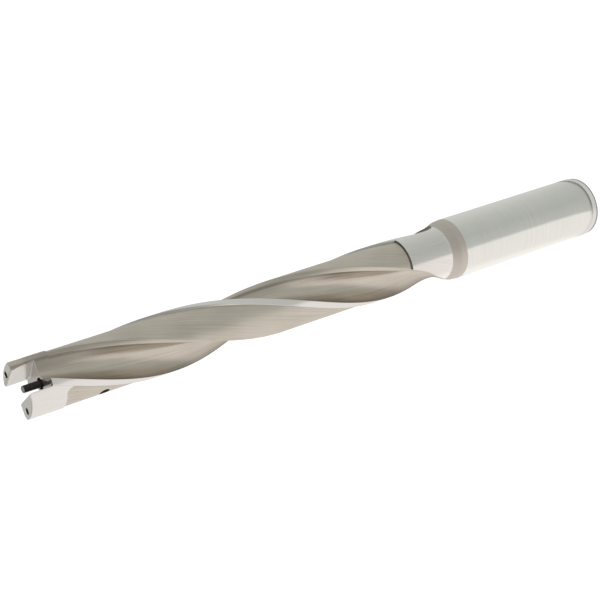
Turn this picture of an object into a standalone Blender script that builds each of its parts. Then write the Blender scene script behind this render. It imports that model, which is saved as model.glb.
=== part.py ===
# Body of a replaceable tip drill: shank, two helical flutes and a cross slot for the cutting tip.
# Standing on the rear face of its shank, with the origin at the middle of that face and the axis along +Z.
# The cross slot runs along X. Sizes are in metres.

import math

import bmesh
import bpy
from mathutils import Matrix, Vector
from mathutils.geometry import interpolate_bezier

MM = 0.001

# Lengths along the axis
OVERALL_LENGTH = 272.0 * MM
SHANK_LENGTH = 75.0 * MM
SHOULDER_BAND_LENGTH = 2.6 * MM
SHOULDER_SLOPE_LENGTH = 3.4 * MM
NECK_FILLET_LENGTH = 1.0 * MM
NECK_LENGTH = 21.3 * MM
FULL_NOSE_LENGTH = 13.7 * MM
STRAIGHT_FLUTE_LENGTH = 6.0 * MM

# Diameters and the steps between them
SHANK_DIAMETER = 25.4 * MM
BODY_DIAMETER = 22.2 * MM
REAR_CHAMFER_DEPTH = 0.8 * MM
REAR_CHAMFER_LENGTH = 3.0 * MM
SHOULDER_BAND_DROP = 0.25 * MM
NECK_FILLET_RISE = 0.25 * MM

# Flutes, seen in a section square to the axis
FLUTE_LEAD = 202.0 * MM
WEB_THICKNESS = 6.7 * MM
LEADING_EDGE_ANGLE = math.radians(-2.3)
LAND_ANGLE = math.radians(94.5)
MARGIN_ANGLE = math.radians(14.0)
HEEL_FACET_LENGTH = 1.9 * MM
HEEL_FACET_SLOPE = math.radians(81.0)
FLUTE_WHEEL_RADIUS = 21.0 * MM
FLUTE_END_ABOVE_SHANK = 3.0 * MM
RELIEF_DEPTH = 0.8 * MM
RELIEF_CORNER_RADIUS = 4.2 * MM
NOSE_RELIEF_DEPTH = 0.4 * MM
NOSE_MARGIN_ANGLE = math.radians(15.0)

# Cross slot in the nose. Its middle lies a little off the axis, to the +Y side.
SLOT_WIDTH = 9.1 * MM
SLOT_SHIFT = 0.35 * MM
SLOT_DEPTH = 9.0 * MM
SLOT_CORNER_RADIUS = 0.6 * MM

# One wall of the slot flares out to the flute beside it, more at the floor than at the nose
FLARE_START_AT_FLOOR = (-4.8 * MM, SLOT_SHIFT + SLOT_WIDTH / 2)
FLARE_START_AT_NOSE = (-10.9 * MM, SLOT_SHIFT + SLOT_WIDTH / 2 - 0.3 * MM)
FLARE_ANGLE_AT_FLOOR = math.radians(24.0)
FLARE_ANGLE_AT_NOSE = math.radians(10.8)
FLARE_LEVELS = 5

# Pull pin, on the axis
PIN_DIAMETER = 2.7 * MM
PIN_ABOVE_FLOOR = 7.0 * MM
PIN_BELOW_FLOOR = 25.0 * MM
PIN_END_CHAMFER = 0.3 * MM
PIN_NOTCH_DEPTH = 0.45 * MM
PIN_NOTCH_LENGTH = 4.6 * MM
PIN_RECESS_DIAMETER = 4.6 * MM
PIN_RECESS_DEPTH = 0.8 * MM

# Clamp screw, set across the land on to the pin
SCREW_DIAMETER = 3.6 * MM
SCREW_FROM_NOSE = 30.0 * MM
SCREW_ANGLE = math.radians(-87.0)
SCREW_RECESS = 0.9 * MM
SCREW_POINT_DIAMETER = 2.2 * MM
SCREW_POINT_LENGTH = 1.0 * MM
SCREW_SOCKET_WIDTH = 2.0 * MM
SCREW_SOCKET_DEPTH = 2.2 * MM
SCREW_CHAMFER = 0.3 * MM

# Coolant ways
COOLANT_DIAMETER = 2.4 * MM
COOLANT_CIRCLE_RADIUS = 8.2 * MM
COOLANT_BEHIND_EDGES = (math.radians(79.5), math.radians(60.3))
REAR_BORE_DIAMETER = 5.6 * MM
REAR_BORE_DEPTH = 60.0 * MM
REAR_BORE_CHAMFER = 1.0 * MM
REAR_BORE_TIP_ANGLE = math.radians(59.0)
JUNCTION_RADIUS = 1.6 * MM
JUNCTION_LENGTH = 30.0 * MM

# Clearance between pieces that touch
FIT_CLEARANCE = 0.3 * MM

# Facets
ROUND_STEPS = 64
FLUTE_STEP = 3.1 * MM
COOLANT_STEP = 4.5 * MM
FLUTE_CURVE_POINTS = 6
RELIEF_ARC_STEPS = 9
HOLE_STEPS = 20
COOLANT_SIDES = 8
OVERCUT = 2.0 * MM

SHANK_R = SHANK_DIAMETER / 2
BODY_R = BODY_DIAMETER / 2
RELIEF_R = BODY_R - RELIEF_DEPTH
PIN_R = PIN_DIAMETER / 2
SHOULDER_TOP = SHANK_LENGTH + SHOULDER_BAND_LENGTH + SHOULDER_SLOPE_LENGTH + NECK_FILLET_LENGTH
RELIEF_START = SHOULDER_TOP + NECK_LENGTH
RELIEF_END = OVERALL_LENGTH - FULL_NOSE_LENGTH
SLOT_FLOOR = OVERALL_LENGTH - SLOT_DEPTH
SCREW_Z = OVERALL_LENGTH - SCREW_FROM_NOSE
PIN_TOP = SLOT_FLOOR + PIN_ABOVE_FLOOR
PIN_BOTTOM = SLOT_FLOOR - PIN_BELOW_FLOOR


def clear_scene():
    for obj in list(bpy.data.objects):
        bpy.data.objects.remove(obj, do_unlink=True)


def polar(radius, angle):
    return Vector((radius * math.cos(angle), radius * math.sin(angle), 0.0))


def make_material(name, colour, metallic, roughness):
    material = bpy.data.materials.new(name)
    material.use_nodes = True
    shader = material.node_tree.nodes["Principled BSDF"]
    shader.inputs["Base Color"].default_value = (*colour, 1.0)
    shader.inputs["Metallic"].default_value = metallic
    shader.inputs["Roughness"].default_value = roughness
    return material


def object_from(bm, name, material=None):
    """A bmesh made into an object, with its faces turned outwards."""
    bmesh.ops.recalc_face_normals(bm, faces=bm.faces[:])
    mesh = bpy.data.meshes.new(name)
    bm.to_mesh(mesh)
    bm.free()
    obj = bpy.data.objects.new(name, mesh)
    bpy.context.scene.collection.objects.link(obj)
    if material:
        mesh.materials.append(material)
    return obj


def turned(name, profile, steps, material=None):
    """A solid turned about Z from (radius, height) points that start and end on the axis."""
    bm = bmesh.new()
    points = [bm.verts.new((radius, 0.0, height)) for radius, height in profile]
    edges = [bm.edges.new(pair) for pair in zip(points, points[1:])]
    bmesh.ops.spin(
        bm,
        geom=points + edges,
        cent=(0, 0, 0),
        axis=(0, 0, 1),
        angle=math.tau,
        steps=steps,
        use_merge=True,
    )
    bmesh.ops.remove_doubles(bm, verts=bm.verts[:], dist=0.001 * MM)
    return object_from(bm, name, material)


def cut(target, cutter):
    """Take the cutter away from the target, and hide the cutter."""
    cutter.hide_render = True
    cutter.display_type = "WIRE"
    modifier = target.modifiers.new("cut " + cutter.name, "BOOLEAN")
    modifier.operation = "DIFFERENCE"
    modifier.solver = "EXACT"
    modifier.object = cutter


def shade_round(obj):
    obj.data.shade_smooth()
    obj.data.set_sharp_from_angle(angle=math.radians(30))


def twist_at(z):
    """Turn of the leading edge at height z. The flutes run straight in the last stretch of the nose."""
    twist_top = OVERALL_LENGTH - STRAIGHT_FLUTE_LENGTH
    return LEADING_EDGE_ANGLE + math.tau * (min(z, twist_top) - twist_top) / FLUTE_LEAD


def flute_half_angle():
    return (math.pi - LAND_ANGLE) / 2


def heights_between(top, bottom, step, first_step=0.0):
    """Heights from top to bottom. Those between them are the same for every cutter with this step."""
    start = min(top - first_step, top - step / 3)
    count = math.floor((start - RELIEF_END) / step)
    heights = [top]
    while RELIEF_END + count * step > bottom + step / 3:
        heights.append(RELIEF_END + count * step)
        count -= 1
    return heights + [bottom]


def helical_mesh(outline, heights, turn, lift=None):
    """Extrude a flat outline down through the heights, turning it as it goes.

    The lift moves the outline away from the axis, along its own X direction.
    """
    bm = bmesh.new()
    start = Matrix.Rotation(turn(heights[0]), 3, "Z")
    first = [start @ point + Vector((0, 0, heights[0])) for point in outline]
    cap = bm.faces.new([bm.verts.new(point) for point in first])
    for above, below in zip(heights, heights[1:]):
        region = [cap, *cap.edges, *cap.verts]
        grown = bmesh.ops.extrude_face_region(bm, geom=region)["geom"]
        cap = next(item for item in grown if isinstance(item, bmesh.types.BMFace))
        moved = list(cap.verts)
        spin = Matrix.Rotation(turn(below) - turn(above), 3, "Z")
        bmesh.ops.rotate(bm, verts=moved, cent=(0, 0, 0), matrix=spin)
        shift = Vector((0, 0, below - above))
        if lift:
            shift += polar(lift(below) - lift(above), turn(below))
        bmesh.ops.translate(bm, verts=moved, vec=shift)
    bmesh.ops.recalc_face_normals(bm, faces=bm.faces[:])
    return bm


def triangulated(bm, name):
    bmesh.ops.triangulate(bm, faces=bm.faces[:], quad_method="SHORT_EDGE")
    return object_from(bm, name)


def wheel_run(rise):
    """Length along the axis over which the grinding wheel rises this far out of the flute."""
    return math.sqrt(FLUTE_WHEEL_RADIUS**2 - (FLUTE_WHEEL_RADIUS - rise) ** 2)


def full_flute_end():
    """Height of the lowest section where the flute has its full depth."""
    return SHANK_LENGTH + FLUTE_END_ABOVE_SHANK + wheel_run(BODY_R - WEB_THICKNESS / 2)


def flute_lift(z):
    """How far the grinding wheel has risen out of the flute at height z, towards the shank."""
    back = max(full_flute_end() - z, 0.0)
    return FLUTE_WHEEL_RADIUS - math.sqrt(FLUTE_WHEEL_RADIUS**2 - back**2)


def flute_outline():
    """The flute's section, X along its middle and Y towards the heel of the land beside it."""
    half = flute_half_angle()
    edge = polar(BODY_R, -half)
    floor = Vector((WEB_THICKNESS / 2, 0.0, 0.0))
    heel = polar(RELIEF_R, half)
    facet = polar(HEEL_FACET_LENGTH, HEEL_FACET_SLOPE)
    ridge = heel - facet
    rake = Vector((-0.86, 0.51, 0.0)) * (edge - floor).length * 0.4
    side = Vector((0.0, abs(edge.y) * 0.46, 0.0))
    rise = Vector((0.0, ridge.y * 0.4, 0.0))
    hook = Vector((-0.78, -0.62, 0.0)) * (ridge - floor).length * 0.45
    chip_face = interpolate_bezier(edge, edge + rake, floor - side, floor, FLUTE_CURVE_POINTS)
    back_face = interpolate_bezier(floor, floor + rise, ridge + hook, ridge, FLUTE_CURVE_POINTS)
    clear = SHANK_R - BODY_R + 2 * OVERCUT
    edge_out = edge - rake.normalized() * clear
    heel_out = heel + facet.normalized() * clear
    far = SHANK_R + 2 * OVERCUT
    outside = [Vector((far, edge.y, 0.0)), Vector((far, heel.y, 0.0))]
    return chip_face + back_face[1:] + [heel_out] + outside[::-1] + [edge_out]


def relief_outline(radius, first):
    """Section of a ground relief: from the margin's rear side to past the heel."""
    last = -LAND_ANGLE - math.radians(12)
    outer = BODY_R + OVERCUT
    angles = [first + (last - first) * step / RELIEF_ARC_STEPS for step in range(RELIEF_ARC_STEPS + 1)]
    inner_side = [polar(radius, angle) for angle in angles]
    outer_side = [polar(outer, angle) for angle in reversed(angles)]
    return inner_side + outer_side


def round_relief_corner(bm, turn):
    """Round the front corner of the relief, beside the margin."""
    margin_side = turn(RELIEF_END) - MARGIN_ANGLE
    ends = [polar(radius, margin_side) for radius in (RELIEF_R, BODY_R + OVERCUT)]
    ends = [end + Vector((0, 0, RELIEF_END)) for end in ends]
    near = 0.001 * MM
    corner = [
        edge
        for edge in bm.edges
        if all(min((vert.co - end).length for end in ends) < near for vert in edge.verts)
    ]
    bmesh.ops.bevel(
        bm,
        geom=corner,
        offset=RELIEF_CORNER_RADIUS,
        offset_type="OFFSET",
        segments=5,
        profile=0.5,
        affect="EDGES",
        material=-1,
    )


def make_flute_cutters():
    top = OVERALL_LENGTH + OVERCUT
    bottom = full_flute_end() - wheel_run(SHANK_R - WEB_THICKNESS / 2 + OVERCUT / 2)
    heights = heights_between(top, bottom, FLUTE_STEP)
    middle = flute_half_angle()
    cutters = []
    for number in (1, 2):
        side = math.pi * (number - 1)
        bm = helical_mesh(
            flute_outline(), heights, lambda z: twist_at(z) + middle + side, flute_lift
        )
        cutters.append(triangulated(bm, f"flute_cutter_{number}"))
    return cutters


def make_relief_cutters():
    first_step = RELIEF_CORNER_RADIUS + OVERCUT / 2
    heights = heights_between(RELIEF_END, RELIEF_START, FLUTE_STEP, first_step)
    cutters = []
    for number in (1, 2):
        side = math.pi * (number - 1)
        outline = relief_outline(RELIEF_R, -MARGIN_ANGLE)
        bm = helical_mesh(outline, heights, lambda z: twist_at(z) + side)
        round_relief_corner(bm, lambda z: twist_at(z) + side)
        cutters.append(triangulated(bm, f"relief_cutter_{number}"))
    return cutters


def make_nose_relief_cutters():
    """The nose is relieved behind its margins too, by less than the rest."""
    bottom = RELIEF_END - RELIEF_CORNER_RADIUS - OVERCUT / 2
    heights = heights_between(OVERALL_LENGTH + OVERCUT, bottom, FLUTE_STEP)
    outline = relief_outline(BODY_R - NOSE_RELIEF_DEPTH, -NOSE_MARGIN_ANGLE)
    cutters = []
    for number in (1, 2):
        side = math.pi * (number - 1)
        bm = helical_mesh(outline, heights, lambda z: twist_at(z) + side)
        cutters.append(triangulated(bm, f"nose_relief_cutter_{number}"))
    return cutters


def coolant_inset(z):
    """How far a coolant way has moved in from its circle at height z, to reach the rear bore."""
    share = min(max((REAR_BORE_DEPTH + JUNCTION_LENGTH - z) / JUNCTION_LENGTH, 0.0), 1.0)
    return (JUNCTION_RADIUS - COOLANT_CIRCLE_RADIUS) * share * share * (3 - 2 * share)


def make_coolant_cutters():
    """Two ways that follow the lands, and close in on the rear bore below the flutes."""
    heights = heights_between(OVERALL_LENGTH + OVERCUT, REAR_BORE_DEPTH - OVERCUT, COOLANT_STEP)
    middle = Vector((COOLANT_CIRCLE_RADIUS, 0.0, 0.0))
    outline = [
        middle + polar(COOLANT_DIAMETER / 2, math.tau * side / COOLANT_SIDES)
        for side in range(COOLANT_SIDES)
    ]
    cutters = []
    for number, behind_edge in enumerate(COOLANT_BEHIND_EDGES, start=1):
        side = math.pi * (number - 1) - behind_edge
        bm = helical_mesh(outline, heights, lambda z: twist_at(z) + side, coolant_inset)
        cutters.append(triangulated(bm, f"coolant_cutter_{number}"))
    return cutters


def flare_outline(share):
    """The flare's section, at this share of the way from the slot's floor to the nose."""
    floor_start = Vector(FLARE_START_AT_FLOOR)
    start = floor_start.lerp(Vector(FLARE_START_AT_NOSE), share)
    angle = FLARE_ANGLE_AT_FLOOR + (FLARE_ANGLE_AT_NOSE - FLARE_ANGLE_AT_FLOOR) * share
    reach = BODY_R / 2 - start.x
    height = SLOT_FLOOR + SLOT_DEPTH * share
    wall_end = start + Vector((reach, reach * math.tan(angle)))
    inside = start.y - OVERCUT
    return [
        Vector((start.x, start.y, height)),
        Vector((wall_end.x, wall_end.y, height)),
        Vector((wall_end.x, inside, height)),
        Vector((start.x, inside, height)),
    ]


def make_flare_cutter():
    """A ruled block that opens the slot's +Y wall towards the flute beside it."""
    bm = bmesh.new()
    top = 1 + OVERCUT / SLOT_DEPTH
    rings = []
    for level in range(FLARE_LEVELS + 1):
        outline = flare_outline(top * level / FLARE_LEVELS)
        rings.append([bm.verts.new(point) for point in outline])
    edges = []
    for ring in rings:
        edges += [bm.edges.new((ring[index - 1], ring[index])) for index in range(len(ring))]
    bmesh.ops.bridge_loops(bm, edges=edges)
    ends = [edge for edge in bm.edges if len(edge.link_faces) == 1]
    bmesh.ops.holes_fill(bm, edges=ends, sides=len(rings[0]))
    return triangulated(bm, "flare_cutter")


def make_slot_cutter():
    """A block across the nose, with its two lower edges rounded."""
    bm = bmesh.new()
    bmesh.ops.create_cube(bm, size=1.0)
    size = Vector((2 * (BODY_R + OVERCUT), SLOT_WIDTH, SLOT_DEPTH + OVERCUT))
    bmesh.ops.scale(bm, verts=bm.verts[:], vec=size)
    bmesh.ops.translate(bm, verts=bm.verts[:], vec=(0, SLOT_SHIFT, SLOT_FLOOR + size.z / 2))
    lower = [
        edge
        for edge in bm.edges
        if all(vert.co.z < SLOT_FLOOR + OVERCUT / 2 for vert in edge.verts)
        and abs(edge.verts[0].co.x - edge.verts[1].co.x) > size.x / 2
    ]
    bmesh.ops.bevel(
        bm,
        geom=lower,
        offset=SLOT_CORNER_RADIUS,
        segments=3,
        profile=0.5,
        affect="EDGES",
        material=-1,
    )
    return object_from(bm, "slot_cutter")


def make_blank():
    """The turned blank: shank, shoulder, neck and body, with the rear bore."""
    bore_r = REAR_BORE_DIAMETER / 2
    band_top = SHANK_LENGTH + SHOULDER_BAND_LENGTH
    slope_top = band_top + SHOULDER_SLOPE_LENGTH
    profile = [
        (0.0, REAR_BORE_DEPTH + bore_r / math.tan(REAR_BORE_TIP_ANGLE)),
        (bore_r, REAR_BORE_DEPTH),
        (bore_r, REAR_BORE_CHAMFER),
        (bore_r + REAR_BORE_CHAMFER, 0.0),
        (SHANK_R - REAR_CHAMFER_DEPTH, 0.0),
        (SHANK_R, REAR_CHAMFER_LENGTH),
        (SHANK_R, SHANK_LENGTH),
        (SHANK_R - SHOULDER_BAND_DROP, band_top),
        (BODY_R + NECK_FILLET_RISE, slope_top),
        (BODY_R, SHOULDER_TOP),
        (BODY_R, OVERALL_LENGTH),
        (0.0, OVERALL_LENGTH),
    ]
    steel = make_material("alloy_steel", (0.62, 0.60, 0.57), 1.0, 0.3)
    return turned("drill_body", profile, ROUND_STEPS, steel)


def make_pin_hole_cutter():
    hole_r = PIN_R + FIT_CLEARANCE
    bottom = PIN_BOTTOM - FIT_CLEARANCE
    recess_r = PIN_RECESS_DIAMETER / 2
    recess_floor = SLOT_FLOOR - PIN_RECESS_DEPTH
    top = SLOT_FLOOR + OVERCUT
    profile = [(0.0, bottom), (hole_r, bottom), (hole_r, recess_floor), (recess_r, recess_floor)]
    profile += [(recess_r, top), (0.0, top)]
    return turned("pin_hole_cutter", profile, HOLE_STEPS)


def across_the_land():
    """Places a piece turned about Z so that its axis runs outwards at the clamp screw."""
    turn = Matrix.Rotation(SCREW_ANGLE, 4, "Z") @ Matrix.Rotation(math.pi / 2, 4, "Y")
    return Matrix.Translation((0, 0, SCREW_Z)) @ turn


def make_screw_hole_cutter():
    hole_r = SCREW_DIAMETER / 2 + FIT_CLEARANCE
    top = BODY_R + OVERCUT
    cutter = turned("screw_hole_cutter", [(0.0, 0.0), (hole_r, 0.0), (hole_r, top), (0.0, top)], HOLE_STEPS)
    cutter.matrix_world = across_the_land()
    return cutter


def make_pin():
    """The pin on the axis, with a notch where the clamp screw bears."""
    inner = PIN_R - PIN_END_CHAMFER
    profile = [(0.0, PIN_BOTTOM), (inner, PIN_BOTTOM), (PIN_R, PIN_BOTTOM + PIN_END_CHAMFER)]
    profile += [(PIN_R, PIN_TOP - PIN_END_CHAMFER), (inner, PIN_TOP), (0.0, PIN_TOP)]
    black = make_material("black_oxide_steel", (0.012, 0.011, 0.011), 0.6, 0.45)
    pin = turned("pull_pin", profile, 2 * HOLE_STEPS, black)
    bm = bmesh.new()
    bmesh.ops.create_cube(bm, size=1.0)
    bmesh.ops.scale(bm, verts=bm.verts[:], vec=(PIN_R, PIN_DIAMETER * 2, PIN_NOTCH_LENGTH))
    bmesh.ops.translate(bm, verts=bm.verts[:], vec=(1.5 * PIN_R - PIN_NOTCH_DEPTH, 0, 0))
    notch = object_from(bm, "pin_notch_cutter")
    notch.matrix_world = Matrix.Translation((0, 0, SCREW_Z)) @ Matrix.Rotation(SCREW_ANGLE, 4, "Z")
    cut(pin, notch)
    return pin


def make_screw():
    """A headless screw with a flat point and a hexagon socket."""
    screw_r = SCREW_DIAMETER / 2
    tip = PIN_R - PIN_NOTCH_DEPTH + FIT_CLEARANCE
    top = RELIEF_R - SCREW_RECESS
    point_r = SCREW_POINT_DIAMETER / 2
    shoulder = tip + SCREW_POINT_LENGTH
    profile = [(0.0, tip), (point_r, tip), (point_r, shoulder), (screw_r, shoulder + screw_r - point_r)]
    profile += [(screw_r, top - SCREW_CHAMFER), (screw_r - SCREW_CHAMFER, top), (0.0, top)]
    dark = make_material("hardened_screw_steel", (0.05, 0.05, 0.052), 0.8, 0.4)
    screw = turned("clamp_screw", profile, 2 * HOLE_STEPS, dark)
    screw.matrix_world = across_the_land()
    bm = bmesh.new()
    corner_r = SCREW_SOCKET_WIDTH / math.sqrt(3)
    bmesh.ops.create_cone(
        bm,
        cap_ends=True,
        segments=6,
        radius1=corner_r,
        radius2=corner_r,
        depth=2 * SCREW_SOCKET_DEPTH,
    )
    bmesh.ops.translate(bm, verts=bm.verts[:], vec=(0, 0, top))
    socket = object_from(bm, "screw_socket_cutter")
    socket.matrix_world = across_the_land()
    cut(screw, socket)
    return screw


def make_drill_body():
    body = make_blank()
    for cutter in make_flute_cutters():
        cut(body, cutter)
    for cutter in make_relief_cutters():
        cut(body, cutter)
    for cutter in make_nose_relief_cutters():
        cut(body, cutter)
    cut(body, make_slot_cutter())
    cut(body, make_flare_cutter())
    cut(body, make_pin_hole_cutter())
    cut(body, make_screw_hole_cutter())
    for cutter in make_coolant_cutters():
        cut(body, cutter)
    return body


clear_scene()
for piece in (make_drill_body(), make_pin(), make_screw()):
    shade_round(piece)
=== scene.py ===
import math

import bmesh
import bpy
from mathutils import Matrix, Vector
from mathutils.geometry import interpolate_bezier


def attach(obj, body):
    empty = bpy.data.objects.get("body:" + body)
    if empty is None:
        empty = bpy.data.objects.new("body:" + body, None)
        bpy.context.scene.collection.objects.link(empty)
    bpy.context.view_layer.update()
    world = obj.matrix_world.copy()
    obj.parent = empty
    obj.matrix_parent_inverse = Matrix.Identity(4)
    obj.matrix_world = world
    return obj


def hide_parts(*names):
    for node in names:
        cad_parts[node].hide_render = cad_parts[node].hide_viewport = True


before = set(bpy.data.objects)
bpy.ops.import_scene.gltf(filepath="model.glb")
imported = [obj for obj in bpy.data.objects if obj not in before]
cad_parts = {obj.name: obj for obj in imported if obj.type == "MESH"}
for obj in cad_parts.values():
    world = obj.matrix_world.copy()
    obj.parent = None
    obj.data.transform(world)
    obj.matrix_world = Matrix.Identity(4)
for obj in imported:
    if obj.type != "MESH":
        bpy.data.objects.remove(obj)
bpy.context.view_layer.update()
mm = 0.001
mmPerUv = 100  # one unit of the map "along" stands for this many mm
tiny = 1e-6
print("frame loaded")


def toLinear(hexColour):
    channels = [int(hexColour[i:i + 2], 16) / 255 for i in (1, 3, 5)]
    linear = [c / 12.92 if c <= 0.04045 else ((c + 0.055) / 1.055) ** 2.4 for c in channels]
    return (*linear, 1.0)


def newMaterial(name):
    material = bpy.data.materials.new(name)
    material.use_nodes = True
    return material, material.node_tree, material.node_tree.nodes["Principled BSDF"]


def addNode(tree, kind, settings=None, inputs=None, links=None):
    node = tree.nodes.new(kind)
    for key, value in (settings or {}).items():
        setattr(node, key, value)
    for key, value in (inputs or {}).items():
        node.inputs[key].default_value = value
    for key, socket in (links or {}).items():
        tree.links.new(socket, node.inputs[key])
    return node


def polar(radius, angle):
    return Vector((radius * math.cos(angle), radius * math.sin(angle), 0.0))


def smooth(share):
    share = min(max(share, 0.0), 1.0)
    return share * share * (3 - 2 * share)


def placeMesh(bm, name, materials):
    mesh = bpy.data.meshes.new(name)
    bm.to_mesh(mesh)
    bm.free()
    for material in materials:
        mesh.materials.append(material)
    piece = bpy.data.objects.new(name, mesh)
    bpy.context.scene.collection.objects.link(piece)
    return piece


def spinLine(bm, points, steps):
    line = [bm.verts.new(point) for point in points]
    edges = [bm.edges.new(pair) for pair in zip(line, line[1:])]
    bmesh.ops.spin(bm, geom=line + edges, cent=(0, 0, 0), axis=(0, 0, 1), angle=math.tau,
                   steps=steps, use_merge=True)


def turnAll(bm, angle, axis="Z"):
    bmesh.ops.rotate(bm, verts=bm.verts[:], cent=(0, 0, 0), matrix=Matrix.Rotation(angle, 3, axis))


# The drill body is one loft that follows the flutes, in mm and radians. The nose is cut later.
drill = {
    "shankR": 12.7, "shankTop": 75.0, "bandTop": 77.6, "bandR": 12.45,
    "slopeTop": 81.0, "neckFootR": 11.35, "neckFoot": 82.0, "bodyR": 11.1,
    "length": 272.0, "twistTop": 266.0, "lead": 202.0,
    "edgeAngle": math.radians(-2.3), "landAngle": math.radians(94.5),
    "marginAngle": math.radians(14.0),
    "webHalf": 3.35, "heelAngle": math.radians(40.8),
    "facetLength": 1.7, "facetSlope": math.radians(71.6), "wallSlope": math.radians(26.0),
    # radius of the grinding wheel, where its path leaves the body, and the skew of its way out
    "runOuts": ((30.0, 81.3, 0.0), (22.0, 80.7, -0.48)),
    "reliefDepth": 0.8, "reliefFoot": 102.3, "reliefRamp": 0.8,
    "reliefTop": 258.3, "reliefCorner": 4.2, "noseRelief": 0.4, "noseRamp": 0.1,
    "reliefStepWidth": 0.55, "marginStepWidth": 0.3,
    "heelRound": 0.4, "edgeRound": 0.12,
    "boreR": 2.8, "boreDepth": 60.0, "boreTip": math.radians(59), "boreRim": 1.0,
    "tipR": 0.002, "rearFaceR": 11.7,
    # height and radius of the rounded rim and the long taper of the rear end
    "rearEnd": ((0.0, 12.0), (0.12, 12.2), (0.4, 12.34), (3.2, 12.7)),
}
halfOpening = (math.pi - drill["landAngle"]) / 2

# The flute's section: points in each part, mm between the points of its straight ends,
# and each curve's handles as a direction and a share of the way that the curve spans
curve = {
    "before": 60, "points": 160, "facet": 34, "wall": 160, "gap": 0.05,
    "rake": ((-0.86, 0.51, 0), 0.4), "side": 0.46,
    "rise": 0.4, "hook": ((-0.78, -0.62, 0), 0.45),
}

# Columns of the loft in one half turn, each span with its own count
spans = {"edge": 3, "chip": 24, "back": 22, "facet": 6, "heel": 6,
         "landWide": 10, "landFine": 18, "step": 3, "margin": 6}
marks, halfColumns = {}, 0
for spanName, spanCount in spans.items():
    marks[spanName] = halfColumns
    halfColumns += spanCount

# Shares of the flute's width or of a land that keep the spans apart where the flute runs out
keep = {"ridge": 0.86, "floorLow": 0.2, "floorHigh": 0.7, "edge": 0.05, "edgePlaces": 8,
        "heelRound": 0.2, "heelStart": 0.3, "fineLand": 0.5, "fineLength": 5.0, "step": 0.3,
        "shoulderHigh": 0.3, "floorLifted": 0.2, "wellBehind": 12.0}

# Heights of the loft's rings in mm
ringPlan = {
    "rear": (0.04, 0.12, 0.25, 0.4, 0.7, 2.9, 3.2, 3.5),
    "shank": (3.5, 74.7, 24), "shankEnd": (74.85, 75.1, 75.6),
    # up to which height, and how far apart
    "zones": ((112, 0.5), (253.6, 0.9), (258.9, 0.24), (271.2, 0.9)),
    "closing": (0, 0.08, 0.22), "ramp": (0.25, 0.5, 0.75, 1.0),
    "clear": 0.1, "clearOfTop": 0.3,
    # the even columns of the shank move to those of the flutes from this height, over this length
    "blend": (12, 62),
}


def twistAt(z):
    z = min(max(z, drill["shankTop"]), drill["twistTop"])
    return drill["edgeAngle"] + math.tau * (z - drill["twistTop"]) / drill["lead"]


def fluteLift(z, across, side):
    wheel, foot, skew = drill["runOuts"][side]
    depth = drill["bodyR"] - drill["webHalf"]
    run = math.sqrt(wheel ** 2 - (wheel - depth) ** 2)
    back = min(max(foot + run - z - skew * across, 0.0), 0.999 * wheel)
    return wheel - math.sqrt(wheel ** 2 - back ** 2)


def fluteSection():
    edge = polar(drill["bodyR"], -halfOpening)
    floor = Vector((drill["webHalf"], 0, 0))
    heel = polar(drill["bodyR"] - drill["reliefDepth"], drill["heelAngle"])
    ridge = heel - polar(drill["facetLength"], drill["facetSlope"])
    rakeWay, rakeShare = curve["rake"]
    hookWay, hookShare = curve["hook"]
    rake = Vector(rakeWay) * (edge - floor).length * rakeShare
    side = Vector((0, abs(edge.y) * curve["side"], 0))
    rise = Vector((0, ridge.y * curve["rise"], 0))
    hook = Vector(hookWay) * (ridge - floor).length * hookShare
    gap, count = curve["gap"], curve["points"]
    before = [edge - rake.normalized() * gap * step for step in range(curve["before"], 0, -1)]
    chip = interpolate_bezier(edge, edge + rake, floor - side, floor, count)
    back = interpolate_bezier(floor, floor + rise, ridge + hook, ridge, count)[1:]
    facet = [ridge.lerp(heel, (step + 1) / curve["facet"]) for step in range(curve["facet"])]
    wall = [heel + polar(gap * (step + 1), drill["wallSlope"]) for step in range(curve["wall"])]
    floorPlace = len(before) + len(chip) - 1
    return before + chip + back + facet + wall, floorPlace, floorPlace + len(back)


fluteLine, floorAt, ridgeAt = fluteSection()


def liftedLine(z, side):
    return [point + Vector((fluteLift(z, point.y, side), 0, 0)) for point in fluteLine]


def lineAt(line, place):
    low = min(int(place), len(line) - 2)
    return line[low].lerp(line[low + 1], place - low)


def crossings(line, radius, heelRadius):
    lengths = [point.length for point in line]
    low = min(range(len(lengths)), key=lengths.__getitem__)
    if lengths[low] >= min(radius, heelRadius) - 100 * tiny:
        return None
    first = low
    while first > 0 and lengths[first] < radius:
        first -= 1
    fall = max(lengths[first] - lengths[first + 1], tiny)
    enter = first + max(lengths[first] - radius, 0.0) / fall
    last = low
    while last < len(lengths) - 1 and lengths[last] < heelRadius:
        last += 1
    rise = lengths[last] - lengths[last - 1]
    leave = last - 1 + (heelRadius - lengths[last - 1]) / rise
    return enter, leave


def curveThrough(start, corner, end, count):
    shares = [step / count for step in range(count)]
    return [start.lerp(corner, s).lerp(corner.lerp(end, s), s) for s in shares]


def evenSteps(parts):
    return [low + (high - low) * step / count for low, high, count in parts
            for step in range(count)]


def reliefAt(z, fromMargin):
    ahead = drill["reliefTop"] - z
    corner = drill["reliefCorner"]
    wide, narrow = drill["reliefStepWidth"], drill["marginStepWidth"]
    if ahead < corner and fromMargin < corner:
        deep = smooth((corner - math.hypot(corner - ahead, corner - fromMargin)) / wide)
    else:
        deep = smooth(min(ahead / wide, fromMargin / narrow))
    shallow = smooth(fromMargin / narrow)
    shallow *= smooth((z - drill["reliefTop"] + 2 * corner) / drill["noseRamp"])
    start = smooth((z - drill["reliefFoot"]) / drill["reliefRamp"])
    return max(drill["reliefDepth"] * deep, drill["noseRelief"] * shallow) * start


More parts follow.
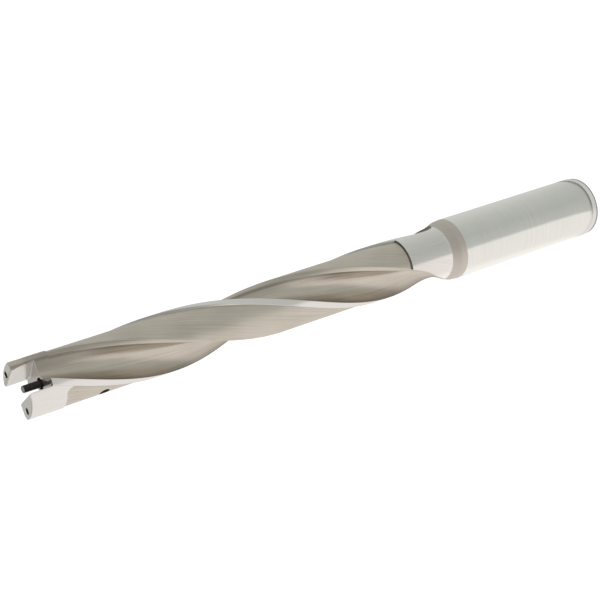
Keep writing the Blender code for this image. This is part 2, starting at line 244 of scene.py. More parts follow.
def edgeAngleAt(z, radius, side):
    line = liftedLine(z, side)
    found = crossings(line, radius, radius)
    place = lineAt(line, found[0]) if found else min(line, key=lambda point: point.length)
    return math.atan2(place.y, place.x)


# One half of a ring: across the flute, round its heel, over the land and along the margin
def halfSection(z, radius, side):
    onBody = radius <= drill["bodyR"] + tiny
    heelRelief = reliefAt(z, keep["wellBehind"]) if onBody else 0.0
    line = liftedLine(z, side)
    found = crossings(line, radius, radius - heelRelief)
    if found is None:
        return None
    enter, leave = found
    width = leave - enter
    ridge = min(ridgeAt, enter + keep["ridge"] * width)
    floor = min(max(floorAt, enter + keep["floorLow"] * width), enter + keep["floorHigh"] * width)
    edgePoint, heelPoint = lineAt(line, enter), lineAt(line, leave)
    edgeAngle = math.atan2(edgePoint.y, edgePoint.x)
    heelAngle = math.atan2(heelPoint.y, heelPoint.x)

    near = min(1.0, width * 0.01)  # a short way along the line, to see how many mm a place is
    arcUnit = (heelPoint - lineAt(line, leave - near)).length / near
    heelRound = min(drill["heelRound"], keep["heelRound"] * (heelPoint - edgePoint).length)
    heelStart = max(leave - heelRound / arcUnit, ridge + keep["heelStart"] * (leave - ridge))
    edgeRound = drill["edgeRound"]
    edgeNext = enter + min(edgeRound * keep["edgePlaces"], keep["edge"] * width)
    before, after = polar(radius, edgeAngle - edgeRound / radius), lineAt(line, edgeNext)
    points = curveThrough(before, edgePoint, after, spans["edge"])
    points += [lineAt(line, place) for place in evenSteps((
        (edgeNext, floor, spans["chip"]), (floor, ridge, spans["back"]),
        (ridge, heelStart, spans["facet"])))]
    landRadius = radius - heelRelief
    heelEnd = heelAngle + heelRound / landRadius
    beyond = polar(landRadius, heelEnd)
    points += curveThrough(lineAt(line, heelStart), heelPoint, beyond, spans["heel"])

    nextAngle = math.pi - halfOpening
    lifted = fluteLift(z, 0.0, side) > keep["floorLifted"]
    if radius > drill["bodyR"] + keep["shoulderHigh"] or lifted:
        nextAngle = math.pi + edgeAngleAt(z, radius, 1 - side)
    marginStart = nextAngle - drill["marginAngle"]
    fine = min(keep["fineLength"] / radius, keep["fineLand"] * (marginStart - heelEnd))
    middle = marginStart - fine
    stepStart = marginStart - min(drill["marginStepWidth"] / radius, keep["step"] * fine)
    for angle in evenSteps(((heelEnd, middle, spans["landWide"]),
                            (middle, stepStart, spans["landFine"]),
                            (stepStart, marginStart, spans["step"]),
                            (marginStart, nextAngle - edgeRound / radius, spans["margin"]))):
        behind = (marginStart - angle) * drill["bodyR"]
        relief = reliefAt(z, behind) if behind > 0 and heelRelief > 0 else 0.0
        points.append(polar(radius - relief, angle))
    return points


# The outside of the body before the flutes are ground into it
def blankRadius(z):
    stops = [*drill["rearEnd"], (drill["shankTop"], drill["shankR"]),
             (drill["bandTop"], drill["bandR"]), (drill["slopeTop"], drill["neckFootR"]),
             (drill["neckFoot"], drill["bodyR"]), (drill["length"], drill["bodyR"])]
    for (low, lowR), (high, highR) in zip(stops, stops[1:]):
        if z <= high:
            return lowR + (highR - lowR) * max(z - low, 0.0) / (high - low)
    return drill["bodyR"]


# The height where a flute's run-out leaves the surface
def closingHeight(side):
    z = drill["shankTop"]
    while halfSection(z, blankRadius(z), side) is None:
        z += 0.01
    return z + 0.02


def ringHeights(closings):
    low, high, count = ringPlan["shank"]
    heights = [*ringPlan["rear"]]
    heights += [low + (high - low) * step / count for step in range(1, count + 1)]
    heights += ringPlan["shankEnd"]
    for stop, step in ringPlan["zones"]:
        while heights[-1] < stop:
            heights.append(heights[-1] + step)
    foot = drill["reliefFoot"]
    sharp = [drill["bandTop"], drill["slopeTop"], drill["neckFoot"], foot]
    sharp += [closing + more for closing in closings for more in ringPlan["closing"]]
    sharp += [foot + drill["reliefRamp"] * share for share in ringPlan["ramp"]]
    top = drill["length"] - ringPlan["clearOfTop"]
    heights = [z for z in heights
               if z < top and all(abs(z - other) > ringPlan["clear"] for other in sharp)]
    return sorted(heights + sharp + [drill["length"]])


# Length round the section up to each column, in units of the map "along"
def nominalArcs():
    points = halfSection(180.0, drill["bodyR"], 0)
    points = points + [Matrix.Rotation(math.pi, 3, "Z") @ points[0]]
    sums = [0.0]
    for first, second in zip(points, points[1:]):
        sums.append(sums[-1] + (second - first).length)
    total = sums[-1]
    return lambda column: (
        ((column // halfColumns) * total + sums[column % halfColumns]) / mmPerUv)


# Painted shade for the flute's colour: darker behind the cutting edge, along the ridge and on the
# far way out
def paintedShadeAt(arcs, column, side, z):
    place = arcs(column) * mmPerUv
    lost, reach = finish["paintedHollowShade"]
    shade = 1 - lost * math.exp(-place / reach)
    lost, reach = finish["paintedRidgeShade"]
    shade *= 1 - lost * math.exp(-((place - arcs(marks["facet"]) * mmPerUv) / reach) ** 2)
    height, band, left = finish["paintedFarRunOutShade"]
    if side == 0:
        shade *= left + (1 - left) * smooth((z - height + band / 2) / band)
    return shade


def kindAt(ring, z, local, half, closing):
    foot = drill["reliefFoot"]
    inRelief = marks["heel"] + 2 <= local < marks["step"] + 1
    depth = drill["bodyR"] - half[min(local + 1, halfColumns - 1)].length
    if ring < 3:  # the bore's tip, wall and rim are the first rings
        return "bore"
    if z < drill["shankTop"] - 0.2:
        return "shank"
    if local < marks["heel"] + spans["heel"] // 2 and z >= closing:
        return "flute"
    if z < drill["slopeTop"] + 0.6:
        return "shoulder"
    # painted shade: a thin dark finish where the relief starts
    if foot <= z < foot + 0.6 * drill["reliefRamp"] and inRelief:
        return "corner"
    return "relieved" if depth > 0.45 else "polished"


def ringSections():
    closings = [closingHeight(side) for side in (0, 1)]
    evenAngles = [math.pi * index / halfColumns - halfOpening for index in range(halfColumns)]
    closedAngles = []
    for side, z in enumerate(closings):
        turns = [math.atan2(point.y, point.x) % math.tau
                 for point in halfSection(z, blankRadius(z), side)]
        closedAngles.append([turn - math.tau if turn > 1.5 * math.pi else turn for turn in turns])
    # the bore's tip and wall and the rear face come before the rings of the outside
    boreR, depth = drill["boreR"], drill["boreDepth"]
    inside = [(depth + boreR / math.tan(drill["boreTip"]), drill["tipR"]), (depth, boreR),
              (drill["boreRim"], boreR), (0.0, boreR + drill["boreRim"]),
              (0.0, drill["rearFaceR"])]
    start, length = ringPlan["blend"]
    sections = []
    for z, radius in inside + [(z, None) for z in ringHeights(closings)]:
        share = 0.0 if radius else smooth((z - start) / length)
        radius = radius or blankRadius(z)
        halves = []
        for side in (0, 1):
            if z >= closings[side]:
                halves.append(halfSection(z, radius, side))
            else:
                pairs = zip(evenAngles, closedAngles[side])
                halves.append([polar(radius, even + (shut - even) * share)
                               for even, shut in pairs])
        sections.append((z, twistAt(z) + halfOpening, halves))
    return sections, closings


def drillSkin(materials):
    sections, closings = ringSections()
    bm = bmesh.new()
    along = bm.loops.layers.uv.new("along")
    # a second map carries the painted shade of the flutes
    hollow = bm.loops.layers.uv.new("hollow")
    columns = 2 * halfColumns
    spinLine(bm, [(1, 0, ring) for ring in range(len(sections))], columns)
    print("skin grid", len(sections), columns, len(bm.verts))
    places = {}
    for vert in bm.verts:
        ring = round(vert.co.z)
        column = round(math.atan2(vert.co.y, vert.co.x) / math.tau * columns) % columns
        places[vert] = (ring, column)
        z, turn, halves = sections[ring]
        side, local = divmod(column, halfColumns)
        spot = Matrix.Rotation(turn + math.pi * side, 3, "Z") @ halves[side][local]
        vert.co = (Vector((0, 0, z)) + spot) * mm
    arcs = nominalArcs()
    for face in bm.faces:
        found = [places[vert] for vert in face.verts]
        ring = min(item[0] for item in found)
        across = {item[1] for item in found}
        column = columns - 1 if across == {0, columns - 1} else min(across)
        z, turn, halves = sections[ring]
        side, local = divmod(column, halfColumns)
        kind = kindAt(ring, z, local, halves[side], closings[side])
        face.material_index = list(skinFinishes).index(kind)
        face.smooth = True
        for loop in face.loops:
            loopRing, loopColumn = places[loop.vert]
            if column == columns - 1 and loopColumn == 0:
                loopColumn = columns
            height = sections[loopRing][0]
            # flute faces get painted shade in the second map, all other faces keep 1
            shade = 1
            if kind == "flute":
                shade = paintedShadeAt(arcs, loopColumn - side * halfColumns, side, height)
            loop[along].uv = (arcs(loopColumn), height / mmPerUv)
            loop[hollow].uv = (shade, 0)
    nearTop = (drill["length"] - 2) * mm
    top = [edge for edge in bm.edges if edge.is_boundary and edge.verts[0].co.z > nearTop]
    for face in bmesh.ops.contextual_create(bm, geom=top)["faces"]:
        face.material_index = list(skinFinishes).index("polished")
        for loop in face.loops:
            loop[hollow].uv = (1, 0)
    boreTip = [vert for vert, (ring, column) in places.items() if ring == 0]
    bmesh.ops.remove_doubles(bm, verts=boreTip, dist=0.01 * mm)
    bmesh.ops.recalc_face_normals(bm, faces=bm.faces[:])
    return placeMesh(bm, "drillBodySkin", materials)


# Each finish: dark and light colour, lowest and highest roughness, size of the grain along X, Y
# and Z or across and along the flute, and depth of the bump, in mm. Where the real grinding
# marks are finer than a pixel, the grain is drawn coarser.
finish = {
    # how far an edge looks rounded, in mm
    "edgeRound": {"groundShank": 0.2, "polishedSteel": 0.22, "milledSlot": 0.45,
                  "groundFlute": 0.22},
    # painted shade: the flute's colour is darkened in the dip behind its cutting edge
    # and along its ridge, standing in for the shade there: share lost, over how many mm
    "paintedHollowShade": (0.58, 2.2), "paintedRidgeShade": (0.4, 0.5),
    # painted shade: the far way out of the flutes is darkened, standing in for the dark it
    # mirrors: height, length of the change, share left
    "paintedFarRunOutShade": (97.0, 8.0, 0.4),
    # finely ground round the axis: a bright, clear mirror with soft edges
    "groundShank": ("#e8e8e4", "#f1f1ed", 0.15, 0.2, (60, 60, 0.5), 0.0005),
    # turned and left unground: warmer and duller than the shank
    "turnedShoulder": ("#d0cac1", "#d8d2ca", 0.45, 0.58, (40, 40, 0.35), 0.003),
    # neck, margins and nose: bright, with faint marks that run round
    "polishedSteel": ("#e4e2de", "#efedea", 0.15, 0.24, (0.5, 30), 0.0008),
    # lands behind the margins: a duller, warm grey with long streaks
    "relievedLand": ("#bfb9ad", "#e4ded3", 0.4, 0.52, (0.45, 44), 0.003),
    # flutes: grey, with grinding streaks that follow the helix
    "groundFlute": ("#bfb8ac", "#ded6ca", 0.26, 0.4, (0.6, 52), 0.004),
    # inside the bore and the holes: dark and rough
    "boreSteel": ("#5d5954", "#78736c", 0.45, 0.6, (3, 3, 3), 0.004),
    # the corner where the relief starts: a thin dark line of painted shade
    "reliefCorner": ("#4c4a46", "#6b6862", 0.4, 0.5, (1.5, 1.5, 1.5), 0.003),
    # cuts in the nose: the cleanest and lightest faces
    "milledSlot": ("#d6d4cf", "#dfddd9", 0.18, 0.26, (14, 1.2, 1.2), 0.0003),
    # side of the pull pin: nearly black with a soft sheen
    "blackOxide": ("#3a3737", "#4c4847", 0.4, 0.55, (1.2, 1.2, 4), 0.003),
    # end of the pull pin: bare grey with fine marks across
    "groundPinEnd": ("#9a9895", "#b0aeaa", 0.3, 0.4, (6, 0.25, 6), 0.002),
    # clamp screw: dark, hardened
    "screwSteel": ("#4a4845", "#63605c", 0.35, 0.5, (1, 1, 1), 0.003),
}


def steel(name, alongFlute=False):
    dark, light, smoothest, roughest, grain, bumpDepth = finish[name]
    material, tree, shader = newMaterial(name)
    shader.inputs["Metallic"].default_value = 1.0
    place = addNode(tree, "ShaderNodeTexCoord")
    if alongFlute:
        scale = (mmPerUv / grain[0], mmPerUv / grain[1], 1)
        source = addNode(tree, "ShaderNodeUVMap", {"uv_map": "along"}).outputs["UV"]
    else:
        scale = tuple(1 / mm / size for size in grain)
        source = place.outputs["Object"]
    spot = addNode(tree, "ShaderNodeMapping", None, {"Scale": scale}, {"Vector": source})
    streaks = addNode(tree, "ShaderNodeTexNoise", None,
                      {"Scale": 1.0, "Detail": 5.0, "Roughness": 0.6},
                      {"Vector": spot.outputs[0]}).outputs["Fac"]
    patches = addNode(tree, "ShaderNodeTexNoise", None, {"Scale": 70.0, "Detail": 2.0},
                      {"Vector": place.outputs["Object"]}).outputs["Fac"]
    patchShare = 0.35
    mixed = addNode(tree, "ShaderNodeMath", {"operation": "MULTIPLY_ADD"}, {1: patchShare},
                    {0: patches, 2: streaks})
    share = addNode(tree, "ShaderNodeMapRange", None, {"From Min": 0.42, "From Max": 0.92},
                    {"Value": mixed.outputs[0]})
    blend = addNode(tree, "ShaderNodeMix", {"data_type": "RGBA"}, None,
                    {"Factor": share.outputs[0]})
    blend.inputs["A"].default_value = toLinear(dark)
    blend.inputs["B"].default_value = toLinear(light)
    colour = blend.outputs["Result"]
    # painted shade: the second map scales the flute's colour down
    if alongFlute:
        hollow = addNode(tree, "ShaderNodeUVMap", {"uv_map": "hollow"})
        level = addNode(tree, "ShaderNodeSeparateXYZ", None, None,
                        {"Vector": hollow.outputs["UV"]})
        shaded = addNode(tree, "ShaderNodeVectorMath", {"operation": "SCALE"}, None,
                         {0: colour, "Scale": level.outputs["X"]})
        colour = shaded.outputs["Vector"]
    gloss = addNode(tree, "ShaderNodeMapRange", None,
                    {"From Min": 0.3, "From Max": 0.7, "To Min": smoothest, "To Max": roughest},
                    {"Value": streaks})
    bump = addNode(tree, "ShaderNodeBump", None, {"Strength": 1.0, "Distance": bumpDepth * mm},
                   {"Height": streaks})
    if name in finish["edgeRound"]:
        edges = addNode(tree, "ShaderNodeBevel", {"samples": 6},
                        {"Radius": finish["edgeRound"][name] * mm})
        tree.links.new(edges.outputs[0], bump.inputs["Normal"])
    tree.links.new(colour, shader.inputs["Base Color"])
    tree.links.new(gloss.outputs[0], shader.inputs["Roughness"])
    tree.links.new(bump.outputs[0], shader.inputs["Normal"])
    return material


skinFinishes = {
    "shank": steel("groundShank"),
    "shoulder": steel("turnedShoulder"),
    "polished": steel("polishedSteel", True),
    "relieved": steel("relievedLand", True),
    "flute": steel("groundFlute", True),
    "bore": steel("boreSteel"),
    "corner": steel("reliefCorner"),
}
body = drillSkin(list(skinFinishes.values()))
print("body lofted", len(body.data.polygons))


# Cuts in the nose, in mm and radians
nose = {
    "slotFloor": 263.0, "slotWidth": 9.1, "slotShift": 0.35, "slotCorner": 0.6,
    "slotLength": 27, "slotTall": 12,
    # the far wall flares: its start in X and Y at the floor and at the nose, and its angles
    "flareAtFloor": (-4.8, 4.9), "flareAtNose": (-10.9, 4.6),
    "flareAngles": (math.radians(24.0), math.radians(10.8)),
    "flareTall": 9, "flareCut": 11, "flareEnd": 5.55, "flareBack": 2, "flareLevels": 8,
    "pinHoleFoot": 237.7, "pinHoleR": 1.5, "recessR": 2.3, "recessDepth": 0.8, "recessTop": 265,
    "screwZ": 242.0, "screwAngle": math.radians(-87.0), "screwHoleR": 2.0, "screwHoleEnd": 14,
    "coolantR": 1.2, "coolantCircles": (8.2, 8.7),
    "coolantBehind": (math.radians(79.5), math.radians(60.3)),
    "coolantTop": 274.0, "coolantFoot": 244, "coolantStep": 1.5,
    "mouthR": 1.42, "mouthDepth": 0.3, "mouthIn": 0.1, "mouthOut": 0.5,
    # radius plus height along the chamfer of the rim, its lowest radius, and how far it is cut
    "rimEdge": 282.4, "rimFootR": 11.4, "rimTop": 272.3, "rimOut": 13,
    # start in X and Y, angle, length and depth of the chamfers along the slot
    "nearEdge": ((-13, -4.2), 0.0, 26, 0.5),
    "farEdge": ((-12.5, 4.3), math.radians(10.8), 19, 0.7),
}


def cutterFrom(bm, name, material):
    bmesh.ops.recalc_face_normals(bm, faces=bm.faces[:])
    bmesh.ops.transform(bm, matrix=Matrix.Scale(mm, 4), verts=bm.verts[:])
    cutter = placeMesh(bm, name, [material])
    cutter.hide_render = True
    return cutter


def turned(name, profile, steps, material, matrix=None):
    bm = bmesh.new()
    spinLine(bm, [(radius, 0, z) for radius, z in profile], steps)
    bmesh.ops.remove_doubles(bm, verts=bm.verts[:], dist=0.0001)
    if matrix:
        bmesh.ops.transform(bm, matrix=matrix, verts=bm.verts[:])
    return cutterFrom(bm, name, material)


def slotCutter(material):
    length, tall, floor = nose["slotLength"], nose["slotTall"], nose["slotFloor"]
    bm = bmesh.new()
    bmesh.ops.create_cube(bm, size=1.0)
    bmesh.ops.scale(bm, verts=bm.verts[:], vec=(length, nose["slotWidth"], tall))
    bmesh.ops.translate(bm, verts=bm.verts[:], vec=(0, nose["slotShift"], floor + tall / 2))
    lower = [edge for edge in bm.edges if all(vert.co.z < floor + 1 for vert in edge.verts)
             and abs(edge.verts[0].co.x - edge.verts[1].co.x) > length / 2]
    bmesh.ops.bevel(bm, geom=lower, offset=nose["slotCorner"], segments=4, profile=0.5,
                    affect="EDGES", material=-1)
    return cutterFrom(bm, "slotCutter", material)


def flareCutter(material):
    bm = bmesh.new()
    rings, levels = [], nose["flareLevels"]
    low, high = nose["flareAngles"]
    for level in range(levels + 1):
        share = level / levels * nose["flareCut"] / nose["flareTall"]
        start = Vector(nose["flareAtFloor"]).lerp(Vector(nose["flareAtNose"]), share)
        angle = low + (high - low) * share
        z = nose["slotFloor"] + nose["flareTall"] * share
        reach = nose["flareEnd"] - start.x
        end = start + Vector((reach, reach * math.tan(angle)))
        back = start.y - nose["flareBack"]
        outline = [(start.x, start.y), (end.x, end.y), (end.x, back), (start.x, back)]
        rings.append([bm.verts.new((x, y, z)) for x, y in outline])
    edges = []
    for ring in rings:
        edges += [bm.edges.new((ring[index - 1], ring[index])) for index in range(4)]
    bmesh.ops.bridge_loops(bm, edges=edges)
    ends = [edge for edge in bm.edges if edge.is_boundary]
    bmesh.ops.holes_fill(bm, edges=ends, sides=4)
    return cutterFrom(bm, "flareCutter", material)


# A coolant way turns with the flutes, so its cutter is drawn out step by step
def coolantCutter(number, material):
    bm = bmesh.new()
    top = nose["coolantTop"]
    angle = twistAt(top) + (math.pi * number - nose["coolantBehind"][number])
    place = Matrix.Translation((nose["coolantCircles"][number], 0, top))
    bmesh.ops.create_circle(bm, cap_ends=True, radius=nose["coolantR"], segments=32, matrix=place)
    turnAll(bm, angle)
    cap = bm.faces[:][0]
    while top > nose["coolantFoot"]:
        z = top - nose["coolantStep"]
        grown = bmesh.ops.extrude_face_region(bm, geom=[cap, *cap.edges, *cap.verts])["geom"]
        cap = next(item for item in grown if isinstance(item, bmesh.types.BMFace))
        bmesh.ops.rotate(bm, verts=list(cap.verts), cent=(0, 0, 0),
                         matrix=Matrix.Rotation(twistAt(z) - twistAt(top), 3, "Z"))
        bmesh.ops.translate(bm, verts=list(cap.verts), vec=(0, 0, z - top))
        top = z
    return cutterFrom(bm, f"coolantCutter{number}", material)


def mouthCutter(number, material):
    angle = twistAt(nose["coolantTop"]) + math.pi * number - nose["coolantBehind"][number]
    place = Matrix.Translation(polar(nose["coolantCircles"][number], angle))
    inner, outer = nose["coolantR"] - nose["mouthIn"], nose["mouthR"]
    face = drill["length"]
    foot, above = face - nose["mouthDepth"], face + nose["mouthOut"]
    profile = [(0, foot), (inner, foot), (outer, face), (outer, above), (0, above)]
    return turned(f"mouthCutter{number}", profile, 32, material, place)


def rimCutter(material):
    reach, foot, top, out = (nose[key] for key in ("rimEdge", "rimFootR", "rimTop", "rimOut"))
    profile = [(reach - top, top), (foot, reach - foot), (out, reach - foot), (out, top),
               (reach - top, top)]
    return turned("rimCutter", profile, 96, material)


def slotEdgeCutter(name, material):
    start, angle, length, depth = nose[name]
    bm = bmesh.new()
    bmesh.ops.create_cube(bm, size=1.0)
    side = depth * math.sqrt(2)
    bmesh.ops.scale(bm, verts=bm.verts[:], vec=(length, side, side))
    turnAll(bm, math.pi / 4, "X")
    bmesh.ops.translate(bm, verts=bm.verts[:], vec=(length / 2, 0, 0))
    turnAll(bm, angle)
    bmesh.ops.translate(bm, verts=bm.verts[:], vec=(*start, drill["length"]))
    return cutterFrom(bm, name, material)


def acrossLand():
    turn = Matrix.Rotation(nose["screwAngle"], 4, "Z") @ Matrix.Rotation(math.pi / 2, 4, "Y")
    return Matrix.Translation((0, 0, nose["screwZ"])) @ turn


def holeCutters(material):
    foot, recess = nose["pinHoleFoot"], nose["slotFloor"] - nose["recessDepth"]
    pinProfile = [(0, foot), (nose["pinHoleR"], foot), (nose["pinHoleR"], recess),
                  (nose["recessR"], recess), (nose["recessR"], nose["recessTop"]),
                  (0, nose["recessTop"])]
    radius, end = nose["screwHoleR"], nose["screwHoleEnd"]
    screwProfile = [(0, 0), (radius, 0), (radius, end), (0, end)]
    return [turned("pinHoleCutter", pinProfile, 40, material),
            turned("screwHoleCutter", screwProfile, 40, material, acrossLand())]


def sharpen(piece):
    piece.data.set_sharp_from_angle(angle=math.radians(32))


def cutAway(piece, tools):
    for tool in tools:
        modifier = piece.modifiers.new(tool.name, "BOOLEAN")
        modifier.operation = "DIFFERENCE"
        modifier.solver = "EXACT"
        modifier.material_mode = "TRANSFER"
        modifier.object = tool
    graph = bpy.context.evaluated_depsgraph_get()
    finished = bpy.data.meshes.new_from_object(piece.evaluated_get(graph))
    piece.modifiers.clear()
    piece.data = finished
    for tool in tools:
        bpy.data.objects.remove(tool)
    sharpen(piece)


milled, dark = steel("milledSlot"), skinFinishes["bore"]
cutAway(body, [
    slotCutter(milled), flareCutter(milled), *holeCutters(dark),
    coolantCutter(0, dark), coolantCutter(1, dark),
    mouthCutter(0, milled), mouthCutter(1, milled), rimCutter(milled),
    slotEdgeCutter("nearEdge", milled), slotEdgeCutter("farEdge", milled),
])
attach(body, "root")
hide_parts("drill_body")
print("nose cut", len(body.data.polygons))


# The pull pin, in mm, with the notch that the clamp screw bears on
pin = {
    "radius": 1.35, "foot": 238.0, "top": 270.0, "footChamfer": 0.3, "endChamfer": 0.25,
    "endRound": 0.08, "notchDepth": 0.45, "notchHalf": 2.3, "notchWall": 0.01,
}


def pullPin(materials):
    bm = bmesh.new()
    radius, foot, top = pin["radius"], pin["foot"], pin["top"]
    footCut, endCut, endRound = pin["footChamfer"], pin["endChamfer"], pin["endRound"]
    half, wall = pin["notchHalf"], pin["notchWall"]
    notch = [nose["screwZ"] + away for away in (-half - wall, -half, half, half + wall)]
    profile = [(0, foot), (radius - footCut, foot), (radius, foot + footCut)]
    profile += [(radius, z) for z in notch]
    profile += [(radius, top - endCut), (radius - endRound, top - endRound),
                (radius - endCut, top), (0, top)]
    spinLine(bm, [(x, 0, z) for x, z in profile], 64)
    bmesh.ops.remove_doubles(bm, verts=bm.verts[:], dist=0.0001)
    for vert in bm.verts:
        if abs(vert.co.z - nose["screwZ"]) <= half + wall / 10:
            vert.co.x = min(vert.co.x, radius - pin["notchDepth"])
    turnAll(bm, nose["screwAngle"])
    bmesh.ops.recalc_face_normals(bm, faces=bm.faces[:])
    for face in bm.faces:
        face.smooth = True
        face.material_index = 1 if face.calc_center_median().z > top - 0.2 else 0
    bmesh.ops.transform(bm, matrix=Matrix.Scale(mm, 4), verts=bm.verts[:])
    return placeMesh(bm, "pullPin", materials)


# The clamp screw, in mm from the drill's axis outwards
screw = {
    "radius": 1.8, "tip": 1.2, "pointR": 1.1, "pointRound": 0.1, "pointLength": 1.0,
    "top": 9.4, "topChamfer": 0.3, "pitch": 0.7, "threadDepth": 0.3, "firstRise": 0.4,
    "crest": (0.3, 0.4), "socketR": 1.155, "socketDepth": 2.2,
}


def clampScrew(material):
    radius, tip, top = screw["radius"], screw["tip"], screw["top"]
    pointR, rounding = screw["pointR"], screw["pointRound"]
    shoulder = tip + screw["pointLength"]
    root = radius - screw["threadDepth"]
    chamferFoot = top - screw["topChamfer"]
    z = shoulder + screw["firstRise"]
    profile = [(0, tip), (pointR - rounding, tip), (pointR, tip + rounding), (pointR, shoulder),
               (root, z)]
    while z < chamferFoot - screw["pitch"]:  # the turns of the thread are drawn as rings
        profile += [(radius, z + rise) for rise in screw["crest"]]
        profile += [(root, z + screw["pitch"])]
        z += screw["pitch"]
    profile += [(radius, chamferFoot), (radius - screw["topChamfer"], top), (0, top)]
    piece = turned("clampScrewPiece", profile, 48, material, acrossLand())
    piece.hide_render = False
    bm = bmesh.new()
    bmesh.ops.create_cone(bm, cap_ends=True, segments=6, depth=2 * screw["socketDepth"],
                          radius1=screw["socketR"], radius2=screw["socketR"],
                          matrix=Matrix.Translation((0, 0, top)))
    bmesh.ops.transform(bm, matrix=acrossLand(), verts=bm.verts[:])
    cutAway(piece, [cutterFrom(bm, "socketCutter", material)])
    return piece


pinPiece = pullPin([steel("blackOxide"), steel("groundPinEnd")])
sharpen(pinPiece)
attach(pinPiece, "root")
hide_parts("pull_pin")
screwPiece = clampScrew(steel("screwSteel"))
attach(screwPiece, "root")
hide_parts("clamp_screw")
print("pin and screw made")


# The stage: floor, cards, lamps, world and camera, in m
studio = {
    "cameraAzimuth": -12.0, "floorHalf": 6.0, "floorGlow": 0.75, "worldUnseen": 0.5,
    "grey": (0.985, 1.0, 0.965), "white": (1.0, 0.965, 0.945),
    # cards that only the steel mirrors: lower and upper edge as radius and height in m,
    # then degrees from the camera, strength and tint
    "cards": {
        # painted reflections: the three rings round the foot draw lines in the mirrored rear edge,
        # a dim ring standing for the shade where the body meets the floor, a light band, and a
        # line that is dark towards the camera
        "paintedContactShade": ((0.011, 0.00005), (0.013, 0.00005),
                         ((-168, 0.3, "grey"), (192, 0.3, "grey"))),
        "paintedFootBand": ((0.013, 0.00005), (0.0158, 0.00005),
                     ((-168, 0.95, "white"), (-30, 0.85, "white"), (-12, 0.66, "grey"),
                      (180, 0.66, "grey"))),
        "paintedFootLine": ((0.0158, 0.00005), (0.0172, 0.00005),
                     ((-168, 0.9, "white"), (-40, 0.75, "white"), (-5, 0.16, "grey"),
                      (180, 0.25, "grey"))),
        "nearSweep": ((0.0172, 0.00005), (0.17, 0.00005),
                      ((-168, 1.06, "white"), (-116, 1.06, "white"), (-92, 0.94, "white"),
                       (-25, 0.93, "white"), (-20, 0.57, "grey"), (20, 0.5, "grey"),
                       (60, 0.55, "grey"), (110, 0.66, "grey"), (165, 0.7, "grey"),
                       (188, 0.6, "grey"), (192, 1.06, "white"))),
        "farSweep": ((0.17, 0.00005), (2.4, 0.00005),
                     ((-168, 0.88, "white"), (-112, 0.92, "white"), (-27, 0.92, "white"),
                      (-17, 0.58, "grey"), (40, 0.58, "grey"), (110, 0.63, "grey"),
                      (165, 0.58, "grey"), (188, 0.55, "grey"), (192, 0.88, "white"))),
        "roomWall": ((1.6, 0.0), (1.6, 0.6),
                     ((-168, 0.9, "white"), (-70, 0.85, "white"), (-40, 0.4, "grey"),
                      (0, 0.3, "grey"), (40, 0.3, "grey"), (70, 0.5, "grey"),
                      (150, 0.5, "grey"), (185, 0.5, "grey"))),
        "ceilingMiddle": ((0.0001, 0.6), (0.08, 0.6),
                          ((-168, 0.55, "white"), (192, 0.55, "white"))),
        "ceilingPanel": ((0.08, 0.6), (0.42, 0.6),
                         ((-168, 0.55, "white"), (-80, 0.55, "white"), (-50, 1.4, "white"),
                          (50, 1.4, "white"), (80, 0.55, "white"), (192, 0.55, "white"))),
        "ceilingEdge": ((0.42, 0.6), (1.6, 0.6),
                        ((-168, 0.55, "white"), (192, 0.55, "white"))),
    },
    "brightest": 2.0,  # a ramp's colours stop at 1, so they are held as shares of this strength
    # place, size and watts of the two lamps, which light the floor: both aim at one point
    "lampAim": (0, 0, 0.13),
    "lamps": {
        "keyLight": ((0.5, 0.7, 0.9), 0.7, 9.0),
        "fillLight": ((0.7, -0.8, 0.5), 0.9, 5.0),
    },
    "lens": 95.58, "sensor": 36,
    "camera": (
        (0.42294, 0.35990, 0.83162, 0.5129),
        (-0.41208, 0.89375, -0.17721, -0.1101),
        (-0.80704, -0.26775, 0.52631, 0.4753),
        (0, 0, 0, 1),
    ),
}


def larger(tree, first, second):
    node = addNode(tree, "ShaderNodeMath", {"operation": "MAXIMUM"}, None, {0: first, 1: second})
    return node.outputs[0]


def paleFloor():
    bm = bmesh.new()
    bmesh.ops.create_grid(bm, x_segments=1, y_segments=1, size=studio["floorHalf"])
    material, tree, shader = newMaterial("paleFloor")
    rays = addNode(tree, "ShaderNodeLightPath").outputs
    seen = larger(tree, rays["Is Camera Ray"], rays["Is Glossy Ray"])
    glow = addNode(tree, "ShaderNodeMath", {"operation": "MULTIPLY"}, {1: studio["floorGlow"]},
                   {0: seen})
    shader.inputs["Base Color"].default_value = (0.45, 0.45, 0.45, 1)
    shader.inputs["Roughness"].default_value = 0.9
    shader.inputs["Emission Color"].default_value = (1, 1, 1, 1)
    tree.links.new(glow.outputs[0], shader.inputs["Emission Strength"])
    return placeMesh(bm, "floor", [material])


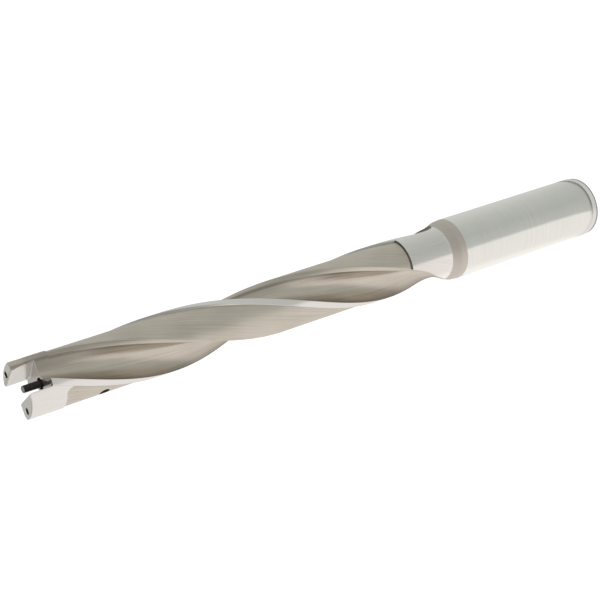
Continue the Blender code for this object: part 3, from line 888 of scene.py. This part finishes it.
def glowCard(name, lower, upper, stops):
    bm = bmesh.new()
    spinLine(bm, [(radius, 0, height) for radius, height in (lower, upper)], 48)
    material, tree, shader = newMaterial(name)
    tree.nodes.remove(shader)
    place = addNode(tree, "ShaderNodeTexCoord")
    turn = addNode(tree, "ShaderNodeTexGradient", {"gradient_type": "RADIAL"}, None,
                   {"Vector": place.outputs["Object"]})
    ramp = addNode(tree, "ShaderNodeValToRGB", None, None, {"Fac": turn.outputs["Fac"]})
    band = ramp.color_ramp
    while len(band.elements) > 1:
        band.elements.remove(band.elements[0])
    for number, (degrees, strength, tint) in enumerate(stops):
        position = (degrees + studio["cameraAzimuth"] + 180) / 360
        element = band.elements[0] if number == 0 else band.elements.new(position)
        element.position = position
        element.color = (*(strength / studio["brightest"] * share for share in studio[tint]), 1)
    glow = addNode(tree, "ShaderNodeEmission", None, {"Strength": studio["brightest"]},
                   {"Color": ramp.outputs["Color"]})
    tree.links.new(glow.outputs[0], tree.nodes["Material Output"].inputs["Surface"])
    card = placeMesh(bm, name, [material])
    card.visible_camera = False
    card.visible_diffuse = False
    card.visible_transmission = False
    card.visible_volume_scatter = False
    card.visible_shadow = False
    return card


def addLamp(name, place, size, power):
    data = bpy.data.lights.new(name, "AREA")
    data.shape = "RECTANGLE"
    data.size = data.size_y = size
    data.energy = power
    lamp = bpy.data.objects.new(name, data)
    lamp.visible_glossy = False  # the steel mirrors the cards instead
    bpy.context.scene.collection.objects.link(lamp)
    lamp.location = place
    aim = Vector(studio["lampAim"]) - Vector(place)
    lamp.rotation_euler = aim.to_track_quat("-Z", "Y").to_euler()


# White where it is seen or mirrored, and dimmer as light on the floor
def studioWorld():
    world = bpy.data.worlds.new("studio")
    bpy.context.scene.world = world
    world.use_nodes = True
    tree = world.node_tree
    tree.nodes.clear()
    rays = addNode(tree, "ShaderNodeLightPath").outputs
    seen = larger(tree, rays["Is Camera Ray"], rays["Is Glossy Ray"])
    seen = larger(tree, seen, rays["Is Transmission Ray"])
    unseen = studio["worldUnseen"]
    level = addNode(tree, "ShaderNodeMath", {"operation": "MULTIPLY_ADD"},
                    {1: 1 - unseen, 2: unseen}, {0: seen})
    back = addNode(tree, "ShaderNodeBackground", None, {"Color": (1, 1, 1, 1)},
                   {"Strength": level.outputs[0]})
    addNode(tree, "ShaderNodeOutputWorld", None, None, {"Surface": back.outputs[0]})


floor = paleFloor()
for cardName, (lower, upper, stops) in studio["cards"].items():
    card = glowCard(cardName, lower, upper, stops)
for lampName, (place, size, power) in studio["lamps"].items():
    addLamp(lampName, place, size, power)
studioWorld()

cameraData = bpy.data.cameras.new("camera")
cameraData.lens = studio["lens"]
cameraData.sensor_width = studio["sensor"]
camera = bpy.data.objects.new("camera", cameraData)
bpy.context.scene.collection.objects.link(camera)
camera.matrix_world = Matrix(studio["camera"])
bpy.context.scene.camera = camera
bpy.context.scene.view_settings.view_transform = "Standard"
print("stage set")
